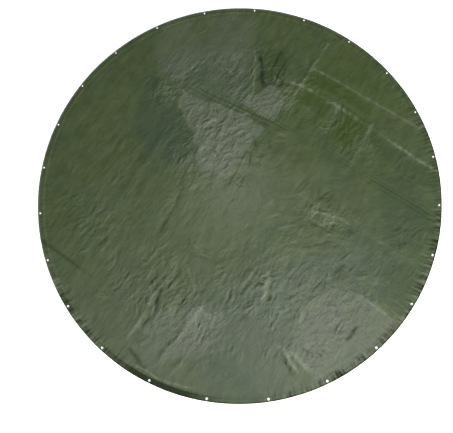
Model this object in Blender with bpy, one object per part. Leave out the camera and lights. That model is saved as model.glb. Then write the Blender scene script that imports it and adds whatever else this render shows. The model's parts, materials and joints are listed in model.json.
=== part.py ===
"""Round spa cover of laminated woven polyethylene, laid out flat with its right side up.

+Z is up, +Y is the far side, and the origin is the middle of the underside, where it rests.
Three widths of fabric are joined by two welded lap seams. The rim is hemmed round a rope, and a
two-part aluminium eyelet is set through the hem about every 15 degrees. The two side panels fold
over the centre panel on fold lines that run beside the seams.
"""

import math

import bmesh
import bpy
from mathutils import Matrix, Vector

# Driving dimensions, in metres and degrees.
COVER_R = 1.800
FABRIC_T = 0.00025
CLEARANCE = 0.0003
RIM_SEGMENTS = 96  # a multiple of 4, so that the rim reaches its full radius on both axes

# The seams, as distances from the centre across them.
SEAM_TURN = -33.0  # direction of the seams, from +X
FAR_SEAM = 0.675
NEAR_SEAM = -1.355
LAP_W = 0.040
FOLD_FROM_SEAM = 0.045
FOLD_HEIGHT = 0.010  # height of the fold axes, half the depth of a rumpled double layer
FOLD_GAP = 0.0006

# The hem: its layers lie at the height of the rope's middle.
ROPE_R = 0.0025
ROPE_SIDES = 6
HEM_W = 0.043
HEM_LAYERS = 0.0004  # from the middle of one layer to the middle of the other
HEM_THROAT = 0.0045  # where the layers part, inward of the rope's middle
RISE_START = 0.070  # the sheet rises from the ground to the hem between these
RISE_END = 0.046

# The eyelets, set by hand, so that their pitch sways a little about its mean.
EYELET_COUNT = 24
EYELET_FIRST = 113.7
EYELET_SWAY = 2.05
EYELET_INSET = 0.021  # from the rim to an eyelet's middle
EYELET_SIDES = 10
HOLE_R = 0.006
BARREL_R = 0.0065
FLANGE_FLAT_R = 0.0095
FLANGE_R = 0.011
FLANGE_T = 0.00095
ROLL_R = 0.0085
ROLL_T = 0.0006
ROLL_BOTTOM = 0.00035
WASHER_T = 0.0008
PUNCH_SIDES = 8

REACH = 2 * COVER_R  # a length that clears the whole cover
CUT_DEPTH = 0.030

ALONG = Vector((math.cos(math.radians(SEAM_TURN)), math.sin(math.radians(SEAM_TURN)), 0))
ACROSS = Vector((-ALONG.y, ALONG.x, 0))
FAR_FOLD = FAR_SEAM + FOLD_FROM_SEAM
NEAR_FOLD = NEAR_SEAM - FOLD_FROM_SEAM

# The rope's tube is a hexagon standing on a flat side, and its outer corner is the rim.
SIDE = math.cos(math.pi / ROPE_SIDES)
TUBE_MID = ROPE_R * SIDE + CLEARANCE + FABRIC_T / 2
ROPE_Z = TUBE_MID + FABRIC_T / 2
ROPE_RING_R = COVER_R - (TUBE_MID + FABRIC_T / 2) / SIDE
HEM_TOP = ROPE_Z + (HEM_LAYERS + FABRIC_T) / 2
HEM_BOTTOM = ROPE_Z - (HEM_LAYERS + FABRIC_T) / 2


def material(name, colour, roughness, metallic):
    made = bpy.data.materials.new(name)
    made.use_nodes = True
    surface = made.node_tree.nodes["Principled BSDF"]
    surface.inputs["Base Color"].default_value = (*colour, 1)
    surface.inputs["Roughness"].default_value = roughness
    surface.inputs["Metallic"].default_value = metallic
    return made


def mesh_from(bm, name, mat, smooth_below=None):
    """Turns a bmesh into a mesh with its faces pointing out."""
    bmesh.ops.recalc_face_normals(bm, faces=bm.faces)
    mesh = bpy.data.meshes.new(name)
    bm.to_mesh(mesh)
    bm.free()
    mesh.materials.append(mat)
    if smooth_below is not None:
        mesh.shade_smooth()
        mesh.set_sharp_from_angle(angle=math.radians(smooth_below))
    return mesh


def placed(name, mesh, parent=None, location=(0, 0, 0), turn=0.0):
    """Puts a mesh in the scene, under a fold line's empty if it moves with that fold."""
    made = bpy.data.objects.new(name, mesh)
    made.location = location
    made.rotation_euler = (0, 0, turn)
    if parent is not None:
        made.parent = parent
        made.matrix_parent_inverse = parent.matrix_basis.inverted()
    bpy.context.collection.objects.link(made)
    return made


def cutter(made):
    made.hide_render = True
    made.display_type = "WIRE"
    return made


def trimmed(made, operation, by):
    cut = made.modifiers.new(operation.lower(), "BOOLEAN")
    cut.operation = operation
    cut.solver = "EXACT"
    cut.object = by


def fold_axis(name, offset, direction):
    """An empty on a fold line, with its X along the hinge axis."""
    empty = bpy.data.objects.new(name, None)
    empty.location = ACROSS * offset + Vector((0, 0, FOLD_HEIGHT))
    empty.rotation_euler = (0, 0, math.atan2(direction.y, direction.x))
    empty.empty_display_size = 0.2
    bpy.context.collection.objects.link(empty)
    return empty


def turned(profile, sides, closed):
    """Spins (radius, height) points about Z."""
    bm = bmesh.new()
    points = [bm.verts.new((r, 0, z)) for r, z in profile]
    pairs = list(zip(points, points[1:]))
    if closed:
        pairs.append((points[-1], points[0]))
    edges = [bm.edges.new(pair) for pair in pairs]
    bmesh.ops.spin(
        bm, geom=points + edges, cent=(0, 0, 0), axis=(0, 0, 1), angle=2 * math.pi,
        steps=sides, use_merge=True,
    )
    bmesh.ops.remove_doubles(bm, verts=bm.verts, dist=1e-6)
    return bm


def block(low, high, middle_z, height, start=-REACH, end=REACH):
    """A box from low to high across the seams and from start to end along them."""
    bm = bmesh.new()
    centre = ALONG * (start + end) / 2 + ACROSS * (low + high) / 2 + Vector((0, 0, middle_z))
    size = Matrix.Diagonal((end - start, high - low, height, 1))
    turn = Matrix.Rotation(math.radians(SEAM_TURN), 4, "Z")
    bmesh.ops.create_cube(bm, size=1, matrix=Matrix.Translation(centre) @ turn @ size)
    return bm


def tube_corner(degrees):
    angle = math.radians(degrees)
    radius = TUBE_MID / SIDE
    return ROPE_RING_R + radius * math.cos(angle), ROPE_Z + radius * math.sin(angle)


def hemmed_sheet():
    """The middle surface of the whole sheet, with its edge turned under round the rope."""
    upper = ROPE_Z + HEM_LAYERS / 2
    lower = ROPE_Z - HEM_LAYERS / 2
    profile = [(COVER_R - RISE_START, FABRIC_T / 2), (COVER_R - RISE_END, upper)]
    profile.append((ROPE_RING_R - HEM_THROAT, upper))
    profile += [tube_corner(degrees) for degrees in (120, 60, 0, -60, -120)]
    profile += [(ROPE_RING_R - HEM_THROAT, lower), (COVER_R - HEM_W, lower)]
    bm = turned(profile, RIM_SEGMENTS, closed=False)
    field_r = COVER_R - RISE_START
    inner = [e for e in bm.edges if e.is_boundary and abs(e.verts[0].co.xy.length - field_r) < 1e-4]
    bmesh.ops.contextual_create(bm, geom=inner)
    return bm


def eyelet_place(index):
    mean = math.radians(EYELET_FIRST - index * 360 / EYELET_COUNT)
    angle = mean - math.radians(EYELET_SWAY) * math.sin(2 * mean)
    radius = COVER_R - EYELET_INSET
    return Vector((radius * math.cos(angle), radius * math.sin(angle), 0)), angle


def punch():
    """The holes through both layers of the hem."""
    bm = bmesh.new()
    radius = (BARREL_R + CLEARANCE) / math.cos(math.pi / PUNCH_SIDES)
    for index in range(EYELET_COUNT):
        place, angle = eyelet_place(index)
        bmesh.ops.create_cone(
            bm, cap_ends=True, segments=PUNCH_SIDES, radius1=radius, radius2=radius,
            depth=CUT_DEPTH, matrix=Matrix.Translation(place) @ Matrix.Rotation(angle, 4, "Z"),
        )
    return bm


def eyelet_profile():
    """Flange on the hem, barrel through it, and a roll under the washer."""
    under = HEM_TOP + CLEARANCE
    top = under + FLANGE_T
    return [
        (HOLE_R, top),
        (FLANGE_FLAT_R, top),
        (FLANGE_R, under),
        (BARREL_R, under),
        (BARREL_R, ROLL_BOTTOM + ROLL_T),
        (ROLL_R, ROLL_BOTTOM + ROLL_T),
        (HOLE_R, ROLL_BOTTOM),
    ]


def washer_profile():
    top = HEM_BOTTOM - CLEARANCE
    inner = (BARREL_R + CLEARANCE) / math.cos(math.pi / EYELET_SIDES)
    return [(inner, top), (inner, top - WASHER_T), (FLANGE_R, top - WASHER_T), (FLANGE_R, top)]


def rope_profile():
    corners = [math.radians(60 * i) for i in range(ROPE_SIDES)]
    return [(ROPE_RING_R + ROPE_R * math.cos(a), ROPE_Z + ROPE_R * math.sin(a)) for a in corners]


def seam_lap(seam):
    """The side panel's edge, welded on top of the centre panel inside the hem."""
    furthest = abs(seam) + LAP_W / 2
    half = math.sqrt((COVER_R - RISE_START) ** 2 - furthest**2) - LAP_W / 2
    middle = FABRIC_T + CLEARANCE + FABRIC_T / 2
    return block(seam - LAP_W / 2, seam + LAP_W / 2, middle, FABRIC_T, -half, half)


def build():
    for old in list(bpy.data.objects):
        bpy.data.objects.remove(old)

    sheet = material("woven_sheet", (0.090, 0.118, 0.070), 0.48, 0.0)
    weld = material("welded_lap", (0.072, 0.095, 0.056), 0.45, 0.0)
    rope = material("hem_rope", (0.62, 0.61, 0.56), 0.80, 0.0)
    metal = material("aluminium", (0.80, 0.80, 0.79), 0.32, 1.0)

    far_axis = fold_axis("far_fold_axis", FAR_FOLD, ALONG)
    near_axis = fold_axis("near_fold_axis", NEAR_FOLD, -ALONG)

    half_gap = FOLD_GAP / 2
    far_region = (FAR_FOLD + half_gap, REACH)
    centre_region = (NEAR_FOLD + half_gap, FAR_FOLD - half_gap)
    near_region = (-REACH, NEAR_FOLD - half_gap)

    holes = cutter(placed("hole_cutter", mesh_from(punch(), "hole_cutter", sheet)))
    full = mesh_from(hemmed_sheet(), "hemmed_sheet", sheet, smooth_below=70)
    for name, region, axis in (
        ("far_panel", far_region, far_axis),
        ("centre_panel", centre_region, None),
        ("near_panel", near_region, near_axis),
    ):
        bounds = mesh_from(block(*region, 0, CUT_DEPTH), name + "_cutter", sheet)
        panel = placed(name, full, axis)
        shell = panel.modifiers.new("thickness", "SOLIDIFY")
        shell.thickness = FABRIC_T
        shell.offset = 0
        shell.use_even_offset = True
        trimmed(panel, "INTERSECT", cutter(placed(name + "_cutter", bounds)))
        trimmed(panel, "DIFFERENCE", holes)

    ring = mesh_from(turned(rope_profile(), RIM_SEGMENTS, True), "hem_rope", rope, smooth_below=70)
    for name, region, ends, axis in (
        ("hem_rope_far", far_region, (-REACH, REACH), far_axis),
        ("hem_rope_right", centre_region, (0, REACH), None),
        ("hem_rope_near", near_region, (-REACH, REACH), near_axis),
        ("hem_rope_left", centre_region, (-REACH, 0), None),
    ):
        bounds = mesh_from(block(*region, 0, CUT_DEPTH, *ends), name + "_cutter", rope)
        arc = placed(name, ring, axis)
        trimmed(arc, "INTERSECT", cutter(placed(name + "_cutter", bounds)))

    placed("far_seam_lap", mesh_from(seam_lap(FAR_SEAM), "far_seam_lap", weld))
    placed("near_seam_lap", mesh_from(seam_lap(NEAR_SEAM), "near_seam_lap", weld))

    eyelet = mesh_from(turned(eyelet_profile(), EYELET_SIDES, True), "eyelet", metal, 50)
    washer = mesh_from(turned(washer_profile(), EYELET_SIDES, True), "washer", metal, 50)
    for index in range(EYELET_COUNT):
        place, angle = eyelet_place(index)
        across = place.dot(ACROSS)
        axis = None
        if across > FAR_FOLD:
            axis = far_axis
        elif across < NEAR_FOLD:
            axis = near_axis
        placed(f"eyelet_{index + 1:02d}", eyelet, axis, place, angle)
        placed(f"washer_{index + 1:02d}", washer, axis, place, angle)


build()
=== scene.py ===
import json
import math

import bmesh
import bpy
import numpy as np
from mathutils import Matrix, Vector
from mathutils.geometry import delaunay_2d_cdt


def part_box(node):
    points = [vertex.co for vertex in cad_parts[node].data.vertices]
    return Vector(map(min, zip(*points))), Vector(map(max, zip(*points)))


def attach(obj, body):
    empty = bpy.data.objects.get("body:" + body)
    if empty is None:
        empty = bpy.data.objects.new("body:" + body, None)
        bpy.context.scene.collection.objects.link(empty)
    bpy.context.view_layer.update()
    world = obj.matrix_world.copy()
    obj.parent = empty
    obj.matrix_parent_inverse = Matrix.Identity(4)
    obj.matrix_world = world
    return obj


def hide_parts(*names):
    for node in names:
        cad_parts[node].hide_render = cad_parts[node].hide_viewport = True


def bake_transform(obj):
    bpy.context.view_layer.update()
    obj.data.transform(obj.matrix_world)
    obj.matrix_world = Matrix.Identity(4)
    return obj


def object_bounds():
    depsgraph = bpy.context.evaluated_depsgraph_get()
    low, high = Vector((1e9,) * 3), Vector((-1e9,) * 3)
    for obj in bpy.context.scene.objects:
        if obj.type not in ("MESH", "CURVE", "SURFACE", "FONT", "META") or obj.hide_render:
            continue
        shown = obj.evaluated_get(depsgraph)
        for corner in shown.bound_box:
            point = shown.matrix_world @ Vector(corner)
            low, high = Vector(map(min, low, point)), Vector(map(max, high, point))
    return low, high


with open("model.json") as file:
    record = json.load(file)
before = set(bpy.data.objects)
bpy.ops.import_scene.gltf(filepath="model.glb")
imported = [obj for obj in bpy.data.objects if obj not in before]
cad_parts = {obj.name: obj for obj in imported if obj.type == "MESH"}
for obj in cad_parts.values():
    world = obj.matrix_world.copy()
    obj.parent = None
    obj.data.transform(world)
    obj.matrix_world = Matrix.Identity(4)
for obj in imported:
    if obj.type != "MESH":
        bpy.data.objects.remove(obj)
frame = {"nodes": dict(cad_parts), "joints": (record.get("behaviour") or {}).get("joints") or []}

cad_box = [list(corner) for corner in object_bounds()]

# -------- sizes read from the frame
JOINTS = {joint["name"]: joint for joint in frame["joints"]}
ALONG = np.array(JOINTS["far_fold"]["axis"][:2])  # direction of the seams
ACROSS = np.array([-ALONG[1], ALONG[0]])
COVER_R = cad_box[1][0]
FAR_FOLD = float(np.dot(JOINTS["far_fold"]["pos_m"][:2], ACROSS))
NEAR_FOLD = float(np.dot(JOINTS["near_fold"]["pos_m"][:2], ACROSS))


def middle(node):
    low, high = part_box(node)
    return (np.array(low) + np.array(high)) / 2


def bottom_and_top(node):
    low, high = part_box(node)
    return float(low[2]), float(high[2])


FAR_SEAM = float(middle("far_seam_lap")[:2] @ ACROSS)
NEAR_SEAM = float(middle("near_seam_lap")[:2] @ ACROSS)
ROPE_Z = float(middle("hem_rope_left")[2])
EYELETS = sorted(name for name in frame["nodes"] if name.startswith("eyelet"))
EYELET_XY = np.array([middle(name)[:2] for name in EYELETS])
EYELET_T, EYELET_S = EYELET_XY @ ALONG, EYELET_XY @ ACROSS
EYELET_TURN = np.arctan2(EYELET_T, EYELET_S)  # turn round the rim, from ACROSS towards ALONG
EYELET_BOTTOM, EYELET_TOP = bottom_and_top(EYELETS[0])
WASHER_BOTTOM, WASHER_TOP = bottom_and_top(EYELETS[0].replace("eyelet", "washer"))

# -------- the sheet's own sizes, in metres
LAP_W = 0.040
LAP_STEP = 0.0006  # how much a welded lap stands above the sheet under it
STEP = 0.0075  # spacing of the sheet's grid
LINE_STEP = 0.004  # spacing beside a storage fold, a lap or an eyelet
BEND = 0.012  # half the width over which the sheet bends at a fold line
BEND_STEP = 0.003
ROPE_R = 0.0025
ROPE_PITCH = 0.024
TUBE_R = 0.003  # the hem's rim, round the rope
ROPE_INSET = 0.0033
HEM_W = 0.043
RISE_W = 0.072  # from the rim to where the sheet starts to rise to the hem
LAYER = 0.0003  # half the spacing of the hem's two layers
PUNCH_R = 0.0085  # the hole in the hem under an eyelet
FLANGE_R = 0.011
FLANGE_T = 0.00095
HOLE_R = 0.006
BARREL_R = 0.0065
LIP_R = 0.00034  # half the height of the lip rolled out at a barrel's foot
EDGE = 0.0001  # thickness of the flange's edge
FILLET = 0.0004  # rounding between the flange and the barrel
GROOVE = 0.00022  # depth of the groove in a washer
GROUND_GAP = 0.0004
TALLEST = 0.0098  # the sheet's highest point, just under the fold axes
FIELD_R = COVER_R - RISE_W
RIM_RING = COVER_R - ROPE_INSET  # radius of the rope's middle


# -------- noise
LATTICE = 4096  # a power of two
WRAP = LATTICE - 1


def lattice(seed):
    """Directions, heights and an order to pick them in, at random for one seed."""
    rng = np.random.default_rng(seed)
    angle = rng.random(LATTICE) * 2 * np.pi
    heights = rng.uniform(-1, 1, LATTICE)
    return np.stack([np.cos(angle), np.sin(angle)], 1), heights, rng.permutation(LATTICE)


LATTICES = [lattice(seed) for seed in range(12)]


def perlin(x, y, seed=0):
    """Gradient noise from about -1 to 1, with features about one unit across."""
    gradients, _, order = LATTICES[seed]
    x0, y0 = np.floor(x).astype(int), np.floor(y).astype(int)
    fx, fy = x - x0, y - y0
    u, v = fx * fx * fx * (fx * (fx * 6 - 15) + 10), fy * fy * fy * (fy * (fy * 6 - 15) + 10)

    def corner(dx, dy):
        g = gradients[order[(order[(x0 + dx) & WRAP] + y0 + dy) & WRAP]]
        return g[..., 0] * (fx - dx) + g[..., 1] * (fy - dy)

    low = corner(0, 0) * (1 - u) + corner(1, 0) * u
    high = corner(0, 1) * (1 - u) + corner(1, 1) * u
    return 1.5 * (low * (1 - v) + high * v)


def facets(x, y, seed=0):
    """Crumpled-foil noise from -1 to 1: flat triangles that meet in sharp edges."""
    _, heights, order = LATTICES[seed]
    push_x = 0.28 * perlin(x * 0.6, y * 0.6 + 40, seed)
    push_y = 0.28 * perlin(x * 0.6 + 40, y * 0.6, seed)
    x, y = x + push_x, y + push_y
    skew = (x + y) * (math.sqrt(3) - 1) / 2
    u, v = x + skew, y + skew
    i, j = np.floor(u).astype(int), np.floor(v).astype(int)
    fu, fv = u - i, v - j

    def corner(di, dj):
        return heights[order[(order[(i + di) & WRAP] + j + dj) & WRAP]]

    first = fu > fv
    side = np.where(first, corner(1, 0), corner(0, 1))
    more, less = np.maximum(fu, fv), np.minimum(fu, fv)
    return corner(0, 0) * (1 - more) + side * (more - less) + corner(1, 1) * less


def bump(d, width):
    return np.exp(-((d / width) ** 2))


def smooth(x, low, high):
    """Runs from 0 at low to 1 at high."""
    u = np.clip((x - low) / (high - low), 0, 1)
    return u * u * (3 - 2 * u)


# -------- how the sheet lies
# Places and sizes in the tables are in centimetres, but for ROW_SWAY's, which are in metres.
def metres(rows, count):
    """The rows with the first numbers of each turned into metres."""
    return [(*(value / 100 for value in row[:count]), *row[count:]) for row in rows]


# Storage folds: (place, height, first end, last end, whitening). A height below 0 is a valley. The
# whitening is partly stress whitening and partly painted highlight on the fold.
ROW_FOLDS = metres([
    (134.5, 0.26, 0, 125, 0.7), (107.5, 0.3, -12, 155, 1), (93, 0.14, -10, 22, 0.4),
    (86, -0.14, 75, 145, 0), (25, -0.12, 60, 170, 0.1), (-21, 0.16, 140, 175, 0.55),
    (-93, 0.22, 100, 150, 0.45), (-48, 0.1, 90, 145, 0.15),
], 4)
COLUMN_FOLDS = metres([
    (0.3, 0.3, 86, 166, 0.6), (41, 0.18, 80, 108, 0.5), (75.5, 0.24, 80, 112, 0.6),
    (50, 0.1, 115, 134, 0.12), (111, 0.12, 105, 130, 0.12), (-3.5, 0.26, -160, -98, 0.25),
    (33, 0.22, -168, -100, 0.4), (74, 0.4, -70, -50, 0.8), (145, 0.14, -25, 33, 0.15),
    (-90, -0.12, 85, 150, 0.05), (-42, 0.08, -60, 10, 0.1), (-80, 0.08, -110, 0, 0.05),
    (1, 0.06, -95, 60, 0.05),
], 4)
# Sway of the rows in the sheet's own plane: (across, half width, [(along, shift), ...]).
ROW_SWAY = [
    (FAR_SEAM, 0.16, [(-1.5, -0.08), (-0.68, -0.072), (-0.24, -0.026), (0, 0), (0.3, 0.008),
     (1.7, 0.004)]),
    (1.075, 0.2, [(-0.2, 0.031), (0.02, 0.078), (0.38, 0.074), (0.75, 0.05), (1.06, 0.018),
     (1.43, -0.01)]),
]
# Crumpled places: (along, across, half length, half width, strength).
CRUMPLES = metres([
    (-42, 40, 40, 24, 1), (-20, 86, 24, 20, 1.1), (-55, 98, 36, 26, 0.8), (-105, 45, 16, 14, 0.8),
    (-6, -118, 36, 30, 1), (42, -118, 30, 30, 0.8), (122, -92, 30, 20, 1.1), (90, 22, 30, 16, 0.9),
    (150, 20, 16, 36, 0.6), (4, 1, 8, 8, 1.2), (72, -62, 30, 22, 0.8), (55, 92, 50, 16, 0.6),
    (-50, 6, 26, 18, 0.7), (-95, 76, 24, 14, 0.7), (-95, -95, 30, 22, 0.45), (110, -30, 30, 25, 0.5),
    (2, 120, 7, 35, 0.6), (30, 114, 30, 5, 0.6), (145, -50, 32, 34, 0.9), (45, -25, 75, 45, 0.32),
    (-30, -75, 40, 25, 0.12),
], 4)
# Single creases drawn from point to point: (along, across, along, across, height, width, mark).
# A height below 0 is a valley. A mark above 0 is whitening, partly stress whitening and partly painted
# highlight, and one below 0 is painted shade in the valley.
LINES = metres([
    (-52, 124, -26, 90, -0.46, 1.6, -0.95), (-61, 128, -30, 80, 0.36, 0.8, 0.5),
    (-34, 140, -30, 108, -0.36, 1, -0.7), (-25, 134, -22, 106, -0.34, 0.9, -0.6),
    (-16, 126, -20, 100, 0.3, 0.8, 0.4), (-10, 104, -30, 112, -0.3, 0.8, -0.6),
    (66.9, -44.8, 74.5, -71, 0.62, 2, 2.2), (72, -46, 80, -68, -0.4, 1, -0.5),
    (114.6, -90.3, 136.6, -95.6, 0.48, 1.5, 1.8), (105.8, -91.6, 131.1, -102.1, 0.46, 1.5, 1.5),
    (110, -96, 130, -109, -0.36, 1, -0.4), (50, -122, 43, -167.2, 0.26, 1.2, 0.3),
    (-5, -102, -4, -135, 0.44, 1, 0.7), (-2.4, -107, 0.2, -125, -0.46, 1.2, -1),
    (-1.2, -128, -3.6, -160, 0.44, 1.8, 0.9), (2.8, -118, 3.4, -150, -0.4, 1, -0.6),
    (35.3, -97, 28.5, -170, 0.36, 2.6, 0.6), (0.7, -163, 24.2, -170.7, -0.4, 1.3, -0.55),
    (10, -172.5, 42, -169, 0.4, 1, 0.8), (38, -169.5, 66, -160, 0.4, 1, 0.8),
    (108.8, -40, 107.8, -72, 0.36, 1.3, 0.9), (145, -21.5, 174, -24.5, 0.36, 1.1, 0.9),
    (147, -60, 151, -42, -0.36, 1.1, -0.6), (141.6, 31.6, 146, -7.2, 0.2, 1, 0.15),
    (62, 14, 94, 30, 0.34, 1, 0.5), (70, 8, 102, 16, -0.34, 1.1, -0.4),
    (-114, 33, -102, 56, 0.4, 0.9, 0.6), (-36.8, -21.7, -33.9, -49, -0.34, 1.2, -0.35),
    (-34.2, -45, -32.1, -71, -0.38, 1.4, -0.4), (-27.1, -63, -27.4, -80, 0.32, 1, 0.35),
    (-69.8, -95, -70.2, -111, -0.34, 1.2, -0.4), (-66.4, -98, -66.7, -115, 0.3, 1, 0.3),
    (-25.4, -84, -23.8, -98, 0.34, 1, 0.5), (31.8, -119, 26.2, -160, -0.34, 1.4, -0.4),
    (33, -102, 50, -108, 0.34, 1.4, 0.8), (-12, 52, -2, 40, -0.4, 0.9, -0.6),
    (-4, 36, 2, 20, -0.36, 0.9, -0.6), (-7.2, 36, -0.7, -9, 0.3, 0.9, 0.6),
    (78.5, -15, 99.1, 6.8, -0.4, 1.4, -0.4), (111.4, -19.3, 118.1, -5, -0.38, 1.3, -0.5),
    (106, 18, 104.6, 32, -0.34, 1, -0.4), (33, -4, 38.5, 11, 0.36, 1.4, 0.5),
    (52.5, -11, 66, 2, 0.34, 1.1, 0.4), (71, 20, 101, 28, 0.36, 1, 0.6),
    (1.3, -80, 24, -93.4, 0.26, 2, 0.3), (5, 56, 10, 47, -0.36, 0.8, -0.5),
    (-42, 52, -30, 16, 0.32, 0.9, 0.4),
], 6)
# Fans of creases that spread from one point: (along, across, reach, height, heading, spread).
FANS = metres([
    (-24, 86, 15, 0.26, -20, 120), (-108, 37, 17, 0.34, 60, 50), (66, 12, 32, 0.24, 32, 70),
    (-5, -120, 17, 0.3, 80, 150), (5, 4, 10, 0.3, 200, 160), (-42, 102, 30, 0.32, 70, 60),
    (74, -52, 22, 0.3, -100, 60), (116, -90, 26, 0.3, -20, 80), (-33, 2, 20, 0.26, 110, 90),
    (30, -110, 26, 0.26, -60, 80),
], 4)
# Patches of haze and painted sheen: (haze, tint, softness of the edge, corners). A haze above 0 is
# paler, partly dull haze and partly painted sheen; one below 0 is cleaner and darker, partly clean
# finish and partly painted shade. A tint above 0 is bluer, partly painted sheen, and one below 0 is a
# stronger green, partly painted shade.
PATCHES = [
    (0.95, 0.5, 2, [(-93, 56), (-30, 66), (-6, 59), (-10, 5), (-33, -4), (-60, 22), (-88, 40)]),
    (0.9, 0.4, 2, [(-36, 75), (-20, 100), (-7, 92), (-1, 72)]),
    (0.4, 0.9, 12, [(-120, 57), (-123, 76), (-96, 97), (-54, 113), (-34, 76), (-42, 65), (-94, 60)]),
    (0.45, 0.5, 10, [(-120, 131), (-97, 147), (-71, 150), (-57, 117), (-65, 98), (-87, 92)]),
    (0.4, 0.4, 6, [(-152, 96), (-126, 125), (-93, 82), (-106, 66), (-134, 74)]),
    (1, 0.6, 7, [(23, -114), (36, -98), (60, -98), (66, -120), (58, -134), (36, -148)]),
    (0.65, 0.5, 5, [(4, -135), (11, -112), (30, -128), (27, -165), (2, -162)]),
    (0.85, 0.5, 1.5, [(115, -90), (108, -71), (107, -41), (128, -24), (145, -21), (171, -24),
     (179, -31), (176, -62), (162, -85), (142, -98)]),
    (-0.3, 0.7, 8, [(31, -99), (90, -50), (113, -72), (111, -93), (120, -129), (87, -156), (66, -158)]),
    (0.2, -0.3, 12, [(-45, -20), (2, 41), (62, 55), (55, 0), (10, -60), (-35, -62)]),
    (0, 0.8, 6, [(82, -20), (115, 22), (153, 22), (151, -8), (108, -32), (70, -80), (52, -70)]),
    (-0.6, 0.9, 3, [(-131, 53), (-90, 40), (-62, 18), (-43, 1), (-63, -17), (-111, -7)]),
    (-1, 0, 3, [(-52, 125), (-32, 136), (-12, 112), (-8, 96), (-24, 98), (-36, 95)]),
    (-0.9, -0.9, 2.5, [(2, 115), (6, 133), (36, 132), (33, 116)]),
    (-0.8, -0.7, 2.5, [(40, 117), (41, 132), (67, 131), (72, 117)]),
    (-0.9, -0.8, 2.5, [(3, 96), (3, 111), (35, 111), (35, 94)]),
    (-1, -1, 2, [(44, 87), (44, 110), (73, 109), (73, 84)]),
    (-0.2, -0.5, 5, [(6, 140), (4, 170), (70, 158), (95, 142), (70, 138)]),
    (-0.9, 0.2, 5, [(117, 94), (150, 78), (170, 48), (142, 25), (111, 61)]),
    (-0.9, 0, 3, [(78, 95), (80, 106), (145, 103), (150, 90), (128, 86)]),
    (-0.35, -0.2, 5, [(5, 72), (5, 92), (110, 82), (115, 66), (50, 68)]),
    (-0.4, 0, 6, [(31, -53), (48, -27), (62, -40), (52, -70)]),
    (-0.8, 0, 3, [(150, -16), (145, 16), (172, 26), (180, -17)]),
    (-1, -0.3, 1.5, [(2, -146), (10, -149), (7, -161), (1, -155)]),
    (-0.3, -0.3, 6, [(-145, -95), (-120, -80), (-70, -130), (-90, -150)]),
]


def in_frame(t, s):
    """The frame's X and Y of points given along and across the seams."""
    return t[..., None] * ALONG + s[..., None] * ACROSS


def bearing(t, s):
    """Degrees round from the frame's X towards its Y."""
    xy = in_frame(t, s)
    return np.degrees(np.arctan2(xy[..., 1], xy[..., 0]))


def ridge(d, width):
    """A sharp fold, with a low swelling on both sides of it."""
    return 0.75 * np.exp(-np.abs(d) / width) + 0.25 * bump(d, 3.0 * width)


def sway(t, s):
    """How far each point of the sheet lies from its flat place, in the sheet's own plane."""
    loose = 1 - smooth(np.hypot(t, s), 1.5, 1.7)
    dt = 0.006 * perlin(t * 2.3 + 7, s * 2.3, 1) * loose
    ds = 0.006 * perlin(t * 2.3, s * 2.3 + 5, 2) * loose
    for place, half, points in ROW_SWAY:
        along, shift = zip(*points)
        ds = ds + np.interp(t, along, shift) * bump(s - place, half) * loose
    return dt, ds


def drawn_lines(t, s):
    """Height, whitening and painted shade of the single creases, tapered to both ends. The whitening is
    partly painted highlight, and the painted shade lies in the valleys.
    """
    z, whitening_and_painted_light, painted_valley_shade = np.zeros((3, len(t)))
    for number, (t0, s0, t1, s1, height, width, mark) in enumerate(LINES):
        long = math.hypot(t1 - t0, s1 - s0)
        ct, cs = (t1 - t0) / long, (s1 - s0) / long
        run = (t - t0) * ct + (s - s0) * cs
        near = (run > 0) & (run < long)
        run = run[near]
        off = (s[near] - s0) * ct - (t[near] - t0) * cs
        off = off + 0.014 * perlin(run * 9, np.full_like(run, number * 3.1), 4)
        taper = np.clip(np.sin(math.pi * run / long) * 1.5, 0, 1)
        uneven = perlin(run * 16, np.full_like(run, number * 5.3), 5)
        taper = taper * np.clip(0.85 + 0.6 * uneven, 0.3, 1.2)
        z[near] += height * taper * ridge(off, width)
        whitening_and_painted_light[near] += max(mark, 0) * taper * np.clip(1.1 - np.abs(off) / (1.2 * width), 0, 1)
        painted_valley_shade[near] += max(-mark, 0) * taper * np.clip(1.4 - np.abs(off) / (1.3 * width), 0, 1)
    return z, whitening_and_painted_light, painted_valley_shade


def storage_folds(t, s):
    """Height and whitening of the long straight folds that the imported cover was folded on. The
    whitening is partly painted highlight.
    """
    z, whitening_and_painted_light = np.zeros((2, len(t)))
    grain = np.clip(0.75 + 0.9 * perlin(t * 21, s * 21, 6), 0.25, 1.3)
    for folds, off, run in ((ROW_FOLDS, s, t), (COLUMN_FOLDS, t, s)):
        for place, height, start, end, white in folds:
            ends = smooth(run, start - 0.04, start + 0.04) * (1 - smooth(run, end - 0.04, end + 0.04))
            uneven = perlin(run * 7, np.full_like(run, place * 9), 3)
            ends = ends * np.clip(0.8 + 0.8 * uneven, 0.15, 1.3)
            z += height * ends * ridge(off - place, 0.009)
            whitening_and_painted_light += 0.85 * white * ends * grain * bump(off - place, 0.015)
    return z, whitening_and_painted_light


def crumple_strength(t, s):
    """How crumpled the sheet is at each point, from 0 to 1.2."""
    total = np.zeros_like(t)
    for along, across, long, wide, strength in CRUMPLES:
        total += strength * np.exp(-(((t - along) / long) ** 2 + ((s - across) / wide) ** 2))
    return np.clip(total, 0, 1.2)


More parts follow.
